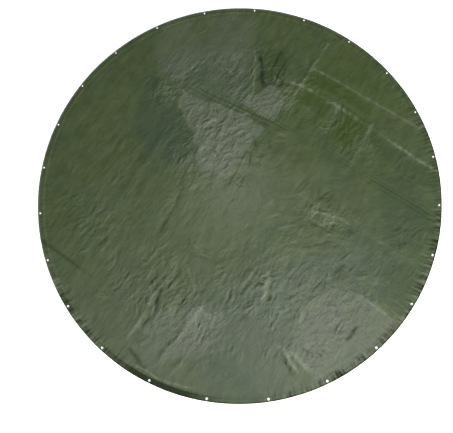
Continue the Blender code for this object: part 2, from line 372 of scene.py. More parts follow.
def add_crease(z, whitening_and_painted_light, t, s, start, angle, length, width, height, curve):
    """Adds one short crease to z and to the whitening, from its middle point out both ways. A tall
    ridge adds whitening that is partly painted highlight, and a tall valley goes below 0, which later
    becomes painted shade.
    """
    near = (np.abs(t - start[0]) < 1.3 * length) & (np.abs(s - start[1]) < 1.3 * length)
    dt, ds = t[near] - start[0], s[near] - start[1]
    run = dt * math.cos(angle) + ds * math.sin(angle)
    off = ds * math.cos(angle) - dt * math.sin(angle) + curve * run**2 / length
    taper = np.clip(1 - (run / length) ** 2, 0, 1)
    z[near] += height * taper * ridge(off, width * (0.5 + 0.5 * taper))
    # tall ridges get whitening and painted highlight; tall valleys go below 0, which becomes painted
    # shade
    if abs(height) > 0.0012:
        whitening_and_painted_light[near] += 150 * height * taper * np.clip(1 - np.abs(off) / 0.008, 0, 1)


CLUSTERS = 420


def crease_clusters(t, s):
    """Combs of short, nearly parallel creases, many where the sheet is crumpled and few elsewhere."""
    rng = np.random.default_rng(11)
    z, whitening_and_painted_light = np.zeros((2, len(t)))
    made = 0
    while made < CLUSTERS:
        place = rng.uniform(-1.8, 1.8, 2)
        chance, turn, spread, high = rng.random(4)
        if place @ place > 1.72**2:
            continue
        strength = float(crumple_strength(place[:1], place[1:])[0])
        if chance > 0.07 + strength:
            continue
        made += 1
        heading = math.radians(90 + 70 * (turn - 0.45) if turn < 0.75 else 720 * turn)
        side = np.array([-math.sin(heading), math.cos(heading)])
        spacing = 0.016 + 0.016 * spread
        for number in range(rng.integers(2, 7)):
            start = place + side * (number * spacing + rng.uniform(-0.005, 0.005))
            start = start + rng.uniform(-0.02, 0.02) * np.array([side[1], -side[0]])
            angle = heading + rng.normal(0, 0.14)
            length = rng.uniform(0.022, 0.095)
            height = (0.0011 + 0.0048 * high * rng.random()) * (0.45 + 0.6 * strength)
            if rng.random() < 0.35:
                height = -height
            width = rng.uniform(0.0045, 0.0085)
            add_crease(z, whitening_and_painted_light, t, s, start, angle, length, width, height, rng.uniform(-0.4, 0.4))
    return z, whitening_and_painted_light


def fan_creases(t, s):
    """Creases that spread from the points where the sheet was pinched."""
    rng = np.random.default_rng(5)
    z, whitening_and_painted_light = np.zeros((2, len(t)))
    for along, across, reach, height, heading, spread in FANS:
        rays = 4 + round(spread / 30)
        for ray in range(rays):
            angle = math.radians(heading + spread * ((ray + 0.5) / rays - 0.5) + rng.uniform(-6, 6))
            length = 0.5 * reach * rng.uniform(0.6, 1.1)
            start = (along + length * math.cos(angle), across + length * math.sin(angle))
            tall = height * rng.uniform(0.4, 1.0)
            add_crease(z, whitening_and_painted_light, t, s, start, angle, length, 0.006, tall, rng.uniform(-0.5, 0.5))
            add_crease(z, whitening_and_painted_light, t, s, start, angle + 0.16, length, 0.006, -0.5 * tall, 0.0)
    return z, whitening_and_painted_light


def streaks(t, s):
    """Long soft ripples across the seams, which fill the left of the cover."""
    warp = 0.07 * perlin(t * 2.1, s * 2.1, 5)
    fine = facets((t + warp) * 16, s * 2.2 + 3, 6) + 0.6 * facets((t - warp) * 31, s * 4.5, 7)
    broad = perlin((t + warp) * 5, s * 1.1, 8)
    patchy = np.clip(0.6 + 0.9 * perlin(t * 1.6, s * 2.2, 9), 0.1, 1.3)
    left = 0.25 + 0.75 * (1 - smooth(t, -0.5, 0.4))
    return (0.0012 * fine * patchy + 0.001 * broad) * left


def rumples(t, s):
    """Facets of three sizes, deeper where the sheet is crumpled."""
    loose = 0.24 + 0.12 * smooth(t, -0.4, 0.4) + 0.8 * crumple_strength(t, s)
    turn = smooth(perlin(t * 2.6, s * 2.6 + 9, 6), -0.35, 0.35)
    coarse = 0.002 * facets(t * 9, s * 6, 2) * (0.5 + 0.5 * loose)
    across = 0.0024 * facets(t * 24 + 0.5 * s, s * 8, 3) + 0.001 * facets(t * 47, s * 19, 4)
    up, down = t + s, t - s
    slanted = 0.0022 * facets(up * 8, down * 19, 5) + 0.0009 * facets(up * 17, down * 38, 7)
    return coarse + loose * (across * (1 - turn) + slanted * turn)


def lift(t, s):
    """Height of the sheet's underside above the ground, the creases' whitening with painted highlights,
    and painted shade in their valleys.
    """
    broad = 0.0018 * perlin(t * 1.5 + 1, s * 1.5, 0) + 0.0012 * perlin(t * 3.4, s * 3.4 + 2, 1)
    z = 0.0034 + broad + 0.0008 * crumple_strength(t, s) + streaks(t, s) + rumples(t, s)
    drawn_z, whitening_and_painted_light, painted_valley_shade = drawn_lines(t, s)
    z = z + drawn_z
    for maker in (storage_folds, crease_clusters, fan_creases):
        more_z, more_whitening_and_painted_light = maker(t, s)
        z = z + more_z
        whitening_and_painted_light = whitening_and_painted_light + more_whitening_and_painted_light
    z = 0.5 * (z + np.sqrt(z * z + 0.0008**2))
    top = TALLEST - GROUND_GAP
    # whitening below 0, left by the valleys of creases, becomes painted shade
    painted_valley_shade = np.clip(painted_valley_shade + 0.8 * np.clip(-whitening_and_painted_light, 0, 1), 0, 1)
    return GROUND_GAP + top * np.tanh(z / top), np.clip(whitening_and_painted_light, 0, 1), painted_valley_shade


def inside(t, s, corners):
    """Distance from a polygon's edge, above 0 inside it."""
    gap, within = np.full(t.shape, np.inf), np.zeros(t.shape, bool)
    for (t0, s0), (t1, s1) in zip(corners, corners[1:] + corners[:1]):
        dt, ds = t1 - t0, s1 - s0
        share = np.clip(((t - t0) * dt + (s - s0) * ds) / (dt * dt + ds * ds), 0, 1)
        gap = np.minimum(gap, np.hypot(t - t0 - share * dt, s - s0 - share * ds))
        if ds:
            within ^= ((s0 > s) != (s1 > s)) & (t < t0 + (s - s0) * dt / ds)
    return np.where(within, gap, -gap)


def haze_and_sheen_patches(t, s):
    """Pale patches above 0, partly dull haze and partly painted sheen, and dark ones below, partly
    clean finish and partly painted shade, with ragged edges; and the patches' tint, bluer partly as
    painted sheen and greener partly as painted shade.
    """
    total, tint = np.zeros((2, len(t)))
    wt = t + 0.035 * perlin(t * 6, s * 6, 10) + 0.018 * facets(t * 22, s * 9, 11)
    ws = s + 0.035 * perlin(t * 6 + 9, s * 6, 10) + 0.024 * facets(t * 22 + 5, s * 9, 9)
    for value, colour, soft, corners in PATCHES:
        depth = inside(wt * 100, ws * 100, corners)
        total += value * smooth(depth, -soft, soft)
        tint += colour * smooth(depth, -soft - 9, soft + 9)
    return np.clip(total, -1, 1), np.clip(tint, -1, 1)


def nearest_eyelet(x, y, middles):
    """Distance to the nearest eyelet's middle, and which one that is."""
    gaps = [np.hypot(x - x0, y - y0) for x0, y0 in middles]
    return np.min(gaps, axis=0), np.argmin(gaps, axis=0)


def hem_pucker(t, s):
    """Height of the short radial gathers at the hem, and their marks: above 0 on the crests, for
    painted highlights there, and below 0 in the valleys, for painted shade.
    """
    angle = bearing(t, s)
    strong = 0.5 + 1.2 * bump(angle + 36, 40) + 1.0 * bump(angle + 138, 20) + 0.4 * bump(angle - 20, 20)
    along_rim = np.arctan2(t, s) * COVER_R
    inset = COVER_R - np.hypot(t, s)
    broad = facets(along_rim * 34, inset * 5, 4)
    fine = facets(along_rim * 75, inset * 9, 5)
    marks = (0.5 * broad + fine) * np.clip(strong - 0.4, 0, 1) * smooth(inset, 0.08, 0.03)
    return 0.0015 * strong * (broad + 0.7 * fine), marks


def rise(t, s):
    """Height that hem and field gain, least at the eyelets, and the whitening with painted highlights
    and the painted shade in valleys.
    """
    r = np.hypot(t, s)
    ground, whitening_and_painted_light, painted_valley_shade = lift(t, s)
    share = 1 - 0.55 * smooth(r, FIELD_R - 0.02, COVER_R - HEM_W)
    gathers, marks = hem_pucker(t, s)
    gathers = gathers * smooth(r, COVER_R - 0.15, COVER_R - 0.04)
    # painted highlights on the gathers' crests, and painted shade in their valleys
    whitening_and_painted_light = np.clip(whitening_and_painted_light + 1.5 * np.clip(marks - 0.2, 0, 1), 0, 1)
    painted_valley_shade = np.clip(painted_valley_shade + 1.2 * np.clip(-marks - 0.12, 0, 1), 0, 1)
    gathers = gathers * (1 - 0.7 * smooth(r, COVER_R - 0.01, COVER_R - 0.003))
    free = smooth(nearest_eyelet(t, s, zip(EYELET_T, EYELET_S))[0], 0.014, 0.04)
    return ground * share * (0.25 + 0.75 * free) + gathers * free, whitening_and_painted_light, painted_valley_shade


# -------- building the sheet's meshes
def stations(low, high, extra):
    """Grid lines from low to high: multiples of STEP, and the extra ones that fall between."""
    values = [value for value in extra if low + 0.001 < value < high - 0.001]
    first, last = math.ceil(low / STEP), math.floor(high / STEP)
    for value in [low, high] + [i * STEP for i in range(first, last + 1)]:
        if min((abs(value - other) for other in values), default=1) > 0.4 * LINE_STEP:
            values.append(value)
    return np.array(sorted(values))


def beside(places, steps=2):
    """Lines on and beside each place, for a fold's crest and flanks."""
    return [place + i * LINE_STEP for place in places for i in range(-steps, steps + 1)]


ROW_LINES = beside([fold[0] for fold in ROW_FOLDS])
ROW_LINES += beside([FAR_SEAM + LAP_W / 2, NEAR_SEAM - LAP_W / 2], steps=1)
ROW_LINES += list(np.arange(FAR_FOLD - 0.018, FAR_FOLD + 0.066, BEND_STEP))
ROW_LINES += list(np.arange(NEAR_FOLD - 0.02, NEAR_FOLD + 0.02, BEND_STEP))
COLUMN_LINES = beside([fold[0] for fold in COLUMN_FOLDS])


def thinned(lines):
    """The lines in order, without those that stand too close to the one before."""
    kept = []
    for line in sorted(lines):
        if not kept or line - kept[-1] > 0.4 * BEND_STEP:
            kept.append(line)
    return kept


ROW_LINES = thinned(ROW_LINES)
COLUMN_LINES = thinned(COLUMN_LINES)


def hem_path():
    """(radius, height above the ground) from the field to the rim and back underneath."""
    upper = ROPE_Z + LAYER
    path = [
        (COVER_R - inset, share * upper)
        for inset, share in ((RISE_W, 0), (0.064, 0.1), (0.056, 0.45), (0.049, 0.85))
    ]
    insets = (0.0435, 0.0385, 0.0335, *np.arange(0.0295, 0.011, -0.0034))
    path += [(COVER_R - inset, upper) for inset in insets]
    for degrees in np.linspace(155, -155, 12):
        angle = math.radians(degrees)
        path.append((RIM_RING + TUBE_R * math.cos(angle), ROPE_Z + TUBE_R * math.sin(angle)))
    insets = (*np.arange(0.0125, 0.031, 0.0034), 0.0365, HEM_W)
    path += [(COVER_R - inset, ROPE_Z - LAYER) for inset in insets]
    return path


HEM = hem_path()


def arc_shares(start, end):
    """Where the hem's columns stand along an arc, closer together at fold lines and eyelets."""
    turns = [start]
    while turns[-1] < end:
        turn = turns[-1]
        s = COVER_R * math.cos(turn)
        step = 0.006
        off = np.abs((EYELET_TURN - turn + math.pi) % (2 * math.pi) - math.pi).min() * COVER_R
        if off < 0.017:
            step = 0.003
        if min(abs(s - FAR_FOLD), abs(s - NEAR_FOLD)) < 0.028:
            step = min(step, BEND_STEP / max(abs(math.sin(turn)), 0.3))
        turns.append(turn + step / COVER_R)
    turns = np.array(turns[:-1] + [end])
    return (turns - start) / (end - start)


def chord_turn(s, r):
    """Turn at which a line across the cover meets the circle of radius r."""
    return math.acos(max(-1, min(1, s / r)))


class Builder:
    """Collects a panel's points, in the sheet's flat (along, across) plane, and its faces."""

    def __init__(self):
        self.flat = []
        self.height = []
        self.ring = []
        self.faces = []
        self.count = 0

    def add(self, t, s, height, ring):
        t, s = np.ravel(t), np.ravel(s)
        self.flat.append(np.stack([t, s], 1))
        self.height.append(np.full(len(t), float(height)))
        self.ring.append(np.full(len(t), float(ring)))
        self.count += len(t)
        return np.arange(self.count - len(t), self.count)


def add_field(b, low, high):
    """The grid inside the hem. Gives back its lines, its cells and its faces."""
    ts = stations(-COVER_R, COVER_R, COLUMN_LINES)
    ss = stations(low, high, ROW_LINES)
    t, s = np.meshgrid(ts, ss)
    within = t * t + s * s < (FIELD_R - 0.004) ** 2
    cell = within[:-1, :-1] & within[1:, :-1] & within[:-1, 1:] & within[1:, 1:]
    used = np.zeros_like(within)
    for di in (0, 1):
        for dj in (0, 1):
            used[di:len(ss) - 1 + di, dj:len(ts) - 1 + dj] |= cell
    index = np.full(t.shape, -1)
    index[used] = b.add(t[used], s[used], 0.0, 0)
    i, j = np.nonzero(cell)
    quads = np.stack([index[i, j], index[i, j + 1], index[i + 1, j + 1], index[i + 1, j]], 1)
    b.faces += quads.tolist()
    return ts, ss, cell, quads


def quads_between(rings):
    """Faces that join each ring of points to the next."""
    corners = [(a[:-1], a[1:], b[1:], b[:-1]) for a, b in zip(rings, rings[1:])]
    return [face for four in corners for face in np.stack(four, 1).tolist()]


def add_band(b, turn_pair):
    """The hem along one arc. turn_pair gives the arc's first and last turn at a radius."""
    start, end = turn_pair(COVER_R)
    shares = arc_shares(start, end)
    rings = []
    for number, (r, z) in enumerate(HEM):
        first, last = turn_pair(r)
        turn = first + shares * (last - first)
        rings.append(b.add(r * np.sin(turn), r * np.cos(turn), z, number + 1))
    b.faces += quads_between(rings)
    return rings[0]


def fill_between(b, grid, rings, low, high):
    """Triangles between the grid's stepped edge and the first ring of the hem."""
    ts, ss, cell, quads = grid
    edges = np.sort(np.concatenate([quads[:, [k, (k + 1) % 4]] for k in range(4)]), axis=1)
    unique, counts = np.unique(edges, axis=0, return_counts=True)
    flat = np.concatenate(b.flat)
    ring_edges = [np.stack([ring[:-1], ring[1:]], 1) for ring in rings]
    chosen = np.concatenate([unique[counts == 1], *ring_edges])
    used, packed = np.unique(chosen, return_inverse=True)
    points = [Vector(p) for p in flat[used]]
    _, _, faces, origin, _, _ = delaunay_2d_cdt(points, packed.reshape(-1, 2).tolist(), [], 0, 1e-7)
    for face in faces:
        corners = [used[origin[k][0]] for k in face if origin[k]]
        if len(corners) != 3:
            continue
        t, s = flat[corners].mean(0)
        if not low < s < high or t * t + s * s > FIELD_R**2:
            continue
        i, j = np.searchsorted(ss, s) - 1, np.searchsorted(ts, t) - 1
        if 0 <= i < cell.shape[0] and 0 <= j < cell.shape[1] and cell[i, j]:
            continue
        a, c, d = flat[corners]
        if (c[0] - a[0]) * (d[1] - a[1]) - (c[1] - a[1]) * (d[0] - a[0]) < 0:
            corners = corners[::-1]
        b.faces.append([int(k) for k in corners])


def seam_lines_and_painted_shade(t, s, hem_inset):
    """Dark lines along the edges of the welded laps and along the hem's weld, painted shade on the hem
    rolled down at the lower left, and painted shade along the rim where the hem rolls over the rope.
    """
    marks = np.zeros_like(s)
    far_clear = 0.35 + 0.6 * smooth(t, -0.05, 0.15) - 0.45 * smooth(t, 0.8, 1.1)
    far_clear = far_clear - 0.35 * bump(t + 0.3, 0.35) + 0.65 * smooth(t, -0.75, -1.0)
    for edge in (FAR_SEAM - LAP_W / 2, FAR_SEAM + LAP_W / 2):
        marks += 0.8 * (1 - far_clear) * np.clip(1 - np.abs(s - edge) / 0.006, 0, 1)
    marks += 0.55 * smooth(t, -0.5, -0.9) * bump(s - NEAR_SEAM, 0.014)
    # painted shade on the hem band rolled down at the lower left
    marks += 1.3 * bump(bearing(t, s) + 110, 12) * smooth(hem_inset, 0.052, 0.04)
    marks += 0.35 * np.clip(1 - np.abs(hem_inset - 0.0395) / 0.004, 0, 1)
    # painted shade along the rim, on the hem's roll over the rope
    marks += 0.9 * smooth(-hem_inset, -0.0055, -0.0025)
    return marks


def fold_ridge(z, s):
    """The soft ridge that the sheet keeps along each of the two fold lines."""
    for fold, height in ((FAR_FOLD, 0.0018), (NEAR_FOLD, 0.0008)):
        z = z * (1 - 0.5 * bump(s - fold, 0.03)) + height * ridge(s - fold, 0.008)
    return z


def placed(name, data, location=(0, 0, 0)):
    """Puts an object with this data into the scene."""
    made = bpy.data.objects.new(name, data)
    made.location = location
    bpy.context.collection.objects.link(made)
    return made


def panel(name, low, high, arcs, over):
    """One width of fabric as a mesh. over lifts a lap that lies on its neighbour."""
    b = Builder()
    grid = add_field(b, low, high)
    rings = [add_band(b, arc) for arc in arcs]
    fill_between(b, grid, rings, low, high)
    flat = np.concatenate(b.flat)
    ring = np.concatenate(b.ring)
    t, s = flat[:, 0], flat[:, 1]
    dt, ds = sway(t, s)
    inset = COVER_R - np.hypot(t, s)
    ground, whitening_and_painted_light, painted_valley_shade = rise(t, s)
    z = fold_ridge(ground, s + ds) + np.concatenate(b.height) + over(s)
    z = np.maximum(z, GROUND_GAP)
    hem = smooth(inset, 0.044, 0.04)
    # dark: the lines along the laps and the hem's weld, painted shade on the rolled hem, the rim and
    # the valleys, and the hem band a little darker
    dark = np.clip(seam_lines_and_painted_shade(t, s, inset) + painted_valley_shade + 0.1 * hem, 0, 1)
    # pale and dark patches and their tint, partly haze and clean finish, partly painted sheen and shade
    spots, tint = haze_and_sheen_patches(t, s) * (1 - 0.7 * hem)
    co = np.column_stack([in_frame(t + dt, s + ds), z])
    finish_and_painted_light = np.column_stack([whitening_and_painted_light, spots, dark])
    loose = np.column_stack([crumple_strength(t, s), tint, 0 * tint])
    return finish_mesh(name, co, ring, b.faces, flat, finish_and_painted_light, loose)


def finish_mesh(name, co, ring, faces, flat, finish_and_painted_light, loose):
    """Makes the panel's object, with what its material reads as attributes of the points."""
    mesh = bpy.data.meshes.new(name)
    keep = punched(co, ring, faces)
    mesh.from_pydata(co.tolist(), [], keep)
    layers = {"flat": np.column_stack([flat, 0 * ring]), "finish_and_painted_light": finish_and_painted_light, "loose": loose}
    for key, values in layers.items():
        attribute = mesh.attributes.new(key, "FLOAT_VECTOR", "POINT")
        attribute.data.foreach_set("vector", values.astype(np.float32).ravel())
    mesh.shade_smooth()
    drop_loose(mesh)
    return placed(name, mesh)


def punched(co, ring, faces):
    """Leaves out the hem's faces inside the eyelets, and rounds the edge of each hole."""
    gap, which = nearest_eyelet(co[:, 0], co[:, 1], EYELET_XY)
    kept, cut = [], set()
    for face in faces:
        if gap[face[0]] > 0.02 or min(ring[k] for k in face) < 1:
            kept.append(face)
            continue
        centre = co[face, :2].mean(0) - EYELET_XY[which[face[0]]]
        if np.hypot(*centre) < PUNCH_R:
            cut.update(face)
        else:
            kept.append(face)
    still = {k for face in kept for k in face}
    for k in cut & still:
        out = co[k, :2] - EYELET_XY[which[k]]
        co[k, :2] = EYELET_XY[which[k]] + out / max(np.hypot(*out), 1e-6) * PUNCH_R
    return kept


def drop_loose(mesh):
    """Deletes the points that no face uses."""
    bm = bmesh.new()
    bm.from_mesh(mesh)
    bmesh.ops.delete(bm, geom=[v for v in bm.verts if not v.link_faces], context="VERTS")
    bm.to_mesh(mesh)
    bm.free()


# -------- materials
def node(tree, kind, **values):
    """Adds a shader node. A value goes to the input of that name, or else to the node itself."""
    made = tree.nodes.new(kind)
    for key, value in values.items():
        if key in made.inputs:
            made.inputs[key].default_value = value
        else:
            setattr(made, key, value)
    return made


def new_material(name):
    mat = bpy.data.materials.new(name)
    mat.use_nodes = True
    return mat, mat.node_tree, mat.node_tree.nodes["Principled BSDF"]


def ramp(tree, source, low, high):
    """Colour that runs from one to another, each given as (position, (r, g, b))."""
    made = node(tree, "ShaderNodeValToRGB")
    for element, (position, colour) in zip(made.color_ramp.elements, (low, high)):
        element.position = position
        element.color = (*colour, 1)
    tree.links.new(source, made.inputs["Fac"])
    return made.outputs["Color"]


def ranged(tree, source, from_min, from_max, to_min, to_max):
    made = node(tree, "ShaderNodeMapRange")
    keys = ("From Min", "From Max", "To Min", "To Max")
    for key, value in zip(keys, (from_min, from_max, to_min, to_max)):
        made.inputs[key].default_value = value
    tree.links.new(source, made.inputs["Value"])
    return made.outputs["Result"]


def mixed(tree, factor, first, second):
    made = node(tree, "ShaderNodeMix", data_type="RGBA")
    tree.links.new(factor, made.inputs["Factor"])
    for socket, value in ((made.inputs[6], first), (made.inputs[7], second)):
        if isinstance(value, tuple):
            socket.default_value = (*value, 1)
        else:
            tree.links.new(value, socket)
    return made.outputs[2]


def noise(tree, vector, scale, detail):
    made = node(tree, "ShaderNodeTexNoise", Scale=scale, Detail=detail, Roughness=0.6)
    tree.links.new(vector, made.inputs["Vector"])
    return made.outputs["Fac"]


def stretched(tree, vector, scales):
    made = node(tree, "ShaderNodeVectorMath", operation="MULTIPLY")
    made.inputs[1].default_value = scales
    tree.links.new(vector, made.inputs[0])
    return made.outputs[0]


def creased(tree, vector, scales):
    """Noise with sharp crests, like creased plastic, stretched by the scale along each axis."""
    made = node(tree, "ShaderNodeTexNoise", Scale=1.0, Detail=3.0, Roughness=0.55, Distortion=0.4)
    made.noise_type = "RIDGED_MULTIFRACTAL"
    made.inputs["Offset"].default_value = 1.0
    made.inputs["Gain"].default_value = 1.0
    tree.links.new(stretched(tree, vector, scales), made.inputs["Vector"])
    return made.outputs["Fac"]


def bumped(tree, height, strength, distance, normal=None):
    made = node(tree, "ShaderNodeBump", Strength=strength, Distance=distance)
    tree.links.new(height, made.inputs["Height"])
    if normal is not None:
        tree.links.new(normal, made.inputs["Normal"])
    return made.outputs["Normal"]


def math_node(tree, operation, first, second):
    made = node(tree, "ShaderNodeMath", operation=operation)
    for socket, value in zip(made.inputs, (first, second)):
        if isinstance(value, (int, float)):
            socket.default_value = value
        elif value is not None:
            tree.links.new(value, socket)
    return made.outputs[0]


def times(tree, first, second):
    return math_node(tree, "MULTIPLY", first, second)


def attribute(tree, name):
    return node(tree, "ShaderNodeAttribute", attribute_name=name).outputs["Vector"]


def parts_of(tree, vector):
    split = node(tree, "ShaderNodeSeparateXYZ")
    tree.links.new(vector, split.inputs[0])
    return split.outputs


def weave(tree, vector):
    """Height of the woven tapes, 2.5 mm wide, along and across the seams."""
    waves = []
    for place in parts_of(tree, vector)[:2]:
        turn = times(tree, place, 2 * math.pi / 0.005)
        waves.append(math_node(tree, "SINE", turn, None))
    return times(tree, *waves)


def sheet_colour(tree, flat, patch, finish_and_painted_light, tint):
    """Olive green that drifts, with pale and dark patches that are partly haze and clean finish and
    partly painted sheen and shade, whitened creases with painted highlights, dark lines along the
    welds, and painted shade.
    """
    whitening_and_painted_light, spots, dark = finish_and_painted_light
    mottle = noise(tree, stretched(tree, flat, (15.0, 7.0, 1.0)), 1.0, detail=4.0)
    speckle = noise(tree, flat, 46.0, detail=3.0)
    hue = noise(tree, flat, 2.9, detail=3.0)
    colour = ramp(tree, patch, (0.32, (0.05, 0.07, 0.029)), (0.7, (0.064, 0.088, 0.033)))
    # bluer, bluer in a patch, partly painted sheen, stronger green in a patch, partly painted shade,
    # paler and darker
    for source, low, high, share, shade in (
        (hue, 0.45, 0.7, 0.4, (0.048, 0.076, 0.044)),
        (tint, 0, 1, 0.55, (0.05, 0.074, 0.05)),
        (tint, 0, -1, 0.6, (0.058, 0.088, 0.018)),
        (mottle, 0.45, 0.66, 0.3, (0.09, 0.116, 0.05)),
        (mottle, 0.5, 0.32, 0.3, (0.034, 0.05, 0.018)),
    ):
        colour = mixed(tree, ranged(tree, source, low, high, 0, share), colour, shade)
    # pale patches of dull haze and painted sheen, each broken up by the speckle of fine crazing, and
    # dark ones of clean finish and painted shade
    haze_and_sheen_share = times(tree, ranged(tree, spots, 0, 1, 0, 0.3), speckle)
    colour = mixed(tree, times(tree, haze_and_sheen_share, 1.7), colour, (0.205, 0.21, 0.183))
    green, bluish = (0.032, 0.056, 0.01), (0.034, 0.054, 0.03)
    darker = mixed(tree, ranged(tree, tint, -0.5, 0.5, 0, 1), green, bluish)
    colour = mixed(tree, ranged(tree, spots, 0, -1, 0, 0.6), colour, darker)
    # whitened creases with painted highlights, and dark lines along the welds, with painted shade in
    # the valleys, on the rolled hem and along the rim
    white = times(tree, whitening_and_painted_light, ranged(tree, speckle, 0.3, 0.7, 0.2, 0.62))
    colour = mixed(tree, white, colour, (0.24, 0.27, 0.2))
    return mixed(tree, times(tree, dark, 0.9), colour, (0.014, 0.022, 0.01))


def sheet_roughness(tree, patch, finish_and_painted_light):
    whitening_and_painted_light, spots, dark = finish_and_painted_light
    rough = ranged(tree, patch, 0.3, 0.7, 0.21, 0.31)
    rough = math_node(tree, "ADD", rough, times(tree, whitening_and_painted_light, 0.12))
    rough = math_node(tree, "ADD", rough, ranged(tree, spots, 0, 1, 0, 0.1))
    return math_node(tree, "ADD", rough, times(tree, dark, 0.25))


def sheet_relief(tree, flat, crumple):
    """The weave, and creases too fine for the mesh, which are deeper where the sheet is crumpled."""
    deep = ranged(tree, crumple, 0, 1, 0.12, 0.85)
    crinkle = times(tree, creased(tree, flat, (17.0, 7.0, 1.0)), deep)
    crazing = times(tree, creased(tree, flat, (20.0, 44.0, 1.0)), deep)
    normal = bumped(tree, crinkle, 0.45, 0.004)
    normal = bumped(tree, crazing, 0.5, 0.002, normal)
    return bumped(tree, weave(tree, flat), 0.3, 0.0002, normal)


def sheet_material():
    mat, tree, shader = new_material("olive_woven_sheet")
    flat = attribute(tree, "flat")
    finish_and_painted_light = parts_of(tree, attribute(tree, "finish_and_painted_light"))
    crumple, tint, _ = parts_of(tree, attribute(tree, "loose"))
    patch = noise(tree, flat, 1.7, detail=5.0)
    link = tree.links.new
    link(sheet_colour(tree, flat, patch, finish_and_painted_light, tint), shader.inputs["Base Color"])
    link(sheet_roughness(tree, patch, finish_and_painted_light), shader.inputs["Roughness"])
    # less reflection where the dark lines and painted shade lie
    link(ranged(tree, finish_and_painted_light[2], 0, 1, 0.5, 0.15), shader.inputs["Specular IOR Level"])
    link(sheet_relief(tree, flat, crumple), shader.inputs["Normal"])
    return mat


def metal_material(name, colour, rough_low, rough_high):
    mat, tree, shader = new_material(name)
    place = node(tree, "ShaderNodeTexCoord").outputs["Object"]
    cloud = noise(tree, place, 260.0, detail=4.0)
    scratch = noise(tree, place, 1400.0, detail=2.0)
    darker = tuple(0.72 * value for value in colour)
    tree.links.new(ramp(tree, cloud, (0.3, darker), (0.62, colour)), shader.inputs["Base Color"])
    tree.links.new(ranged(tree, cloud, 0.3, 0.7, rough_high, rough_low), shader.inputs["Roughness"])
    tree.links.new(bumped(tree, scratch, 0.25, 0.0001), shader.inputs["Normal"])
    shader.inputs["Metallic"].default_value = 1.0
    return mat


def rope_material():
    mat, tree, shader = new_material("twisted_white_rope")
    place = node(tree, "ShaderNodeTexCoord").outputs["Object"]
    fibre = noise(tree, place, 900.0, detail=3.0)
    colour = ramp(tree, fibre, (0.3, (0.46, 0.45, 0.4)), (0.7, (0.66, 0.65, 0.6)))
    tree.links.new(colour, shader.inputs["Base Color"])
    tree.links.new(bumped(tree, fibre, 0.5, 0.0003), shader.inputs["Normal"])
    shader.inputs["Roughness"].default_value = 0.75
    return mat


# -------- the cover
SHEET = sheet_material()
FLANGE_METAL = metal_material("pale_aluminium", (0.9, 0.9, 0.89), 0.28, 0.44)
WASHER_METAL = metal_material("dull_aluminium", (0.74, 0.74, 0.73), 0.4, 0.58)
ROPE = rope_material()
FAR_LOW = FAR_SEAM - LAP_W / 2
NEAR_HIGH = NEAR_SEAM + LAP_W / 2
CENTRE_HIGH = FAR_SEAM + LAP_W / 2
CENTRE_LOW = NEAR_SEAM - LAP_W / 2


def lap_far(s):
    return LAP_STEP * (1 - smooth(s, CENTRE_HIGH, CENTRE_HIGH + 0.01))


def lap_near(s):
    return LAP_STEP * smooth(s, CENTRE_LOW - 0.01, CENTRE_LOW)


def across(value):
    return (*(ACROSS * value), 0.0)


def blend_flaps(far, near):
    """Bakes the far and the near piece's placements into their meshes."""
    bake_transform(far)
    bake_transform(near)


def make_sheets():
    """The three panels, with what each stands for and measures flat; only the centre one rides a body.
    """
    far = panel(
        "far_sheet", FAR_LOW, COVER_R,
        [lambda r: (-chord_turn(FAR_LOW, r), chord_turn(FAR_LOW, r))], lap_far,
    )
    near = panel(
        "near_sheet", -COVER_R, NEAR_HIGH,
        [lambda r: (chord_turn(NEAR_HIGH, r), 2 * math.pi - chord_turn(NEAR_HIGH, r))], lap_near,
    )
    centre = panel(
        "centre_sheet", CENTRE_LOW, CENTRE_HIGH,
        [lambda r: (chord_turn(CENTRE_HIGH, r), chord_turn(CENTRE_LOW, r)),
         lambda r: (-chord_turn(CENTRE_LOW, r), -chord_turn(CENTRE_HIGH, r))],
        lambda s: 0 * s,
    )
    for made in (far, near, centre):
        made.data.materials.append(SHEET)
    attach(centre, "centre")
    blend_flaps(far, near)
    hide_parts("centre_panel")
    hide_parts("far_panel", "far_seam_lap")
    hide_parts("near_panel", "near_seam_lap")


def arc(middle_r, middle_z, radius_r, radius_z, start, end, steps):
    """Points of a turned profile along part of an ellipse, from one angle to another."""
    points = []
    for degrees in np.linspace(start, end, steps):
        angle = math.radians(degrees)
        points.append((middle_r + radius_r * math.cos(angle), middle_z + radius_z * math.sin(angle)))
    return points


def eyelet_profile():
    """Domed flange on the hem, barrel through it, and a lip rolled out under the washer."""
    under = EYELET_TOP - FLANGE_T
    crown = (FLANGE_R + HOLE_R) / 2
    half = (FLANGE_R - HOLE_R) / 2
    lip_z = EYELET_BOTTOM + LIP_R
    profile = arc(crown, under + EDGE, half, EYELET_TOP - under - EDGE, 180, 0, 11)
    profile += [(FLANGE_R - FILLET, under - 0.00008), (BARREL_R + FILLET, under)]
    profile += [(BARREL_R, under - FILLET), (BARREL_R, lip_z + 0.0007)]
    profile += arc(BARREL_R + 0.001, lip_z + 0.0001, 0.0009, 0.0003, 160, 20, 4)
    profile += arc(BARREL_R + 0.0008, lip_z, 0.0013, LIP_R, 10, -170, 7)
    return profile


def washer_profile():
    """A flat ring with rounded edges and a shallow groove in its lower side."""
    inner, mid = BARREL_R + FILLET, (WASHER_TOP + WASHER_BOTTOM) / 2
    half = (WASHER_TOP - WASHER_BOTTOM) / 2
    profile = arc(FLANGE_R - half, mid, half, half, 90, -90, 6)
    for r, depth in ((0.0098, 0), (0.0092, GROOVE), (0.0082, GROOVE), (0.0076, 0)):
        profile.append((r, WASHER_BOTTOM + depth))
    profile += arc(inner + half, mid, half, half, -90, -270, 6)
    return profile


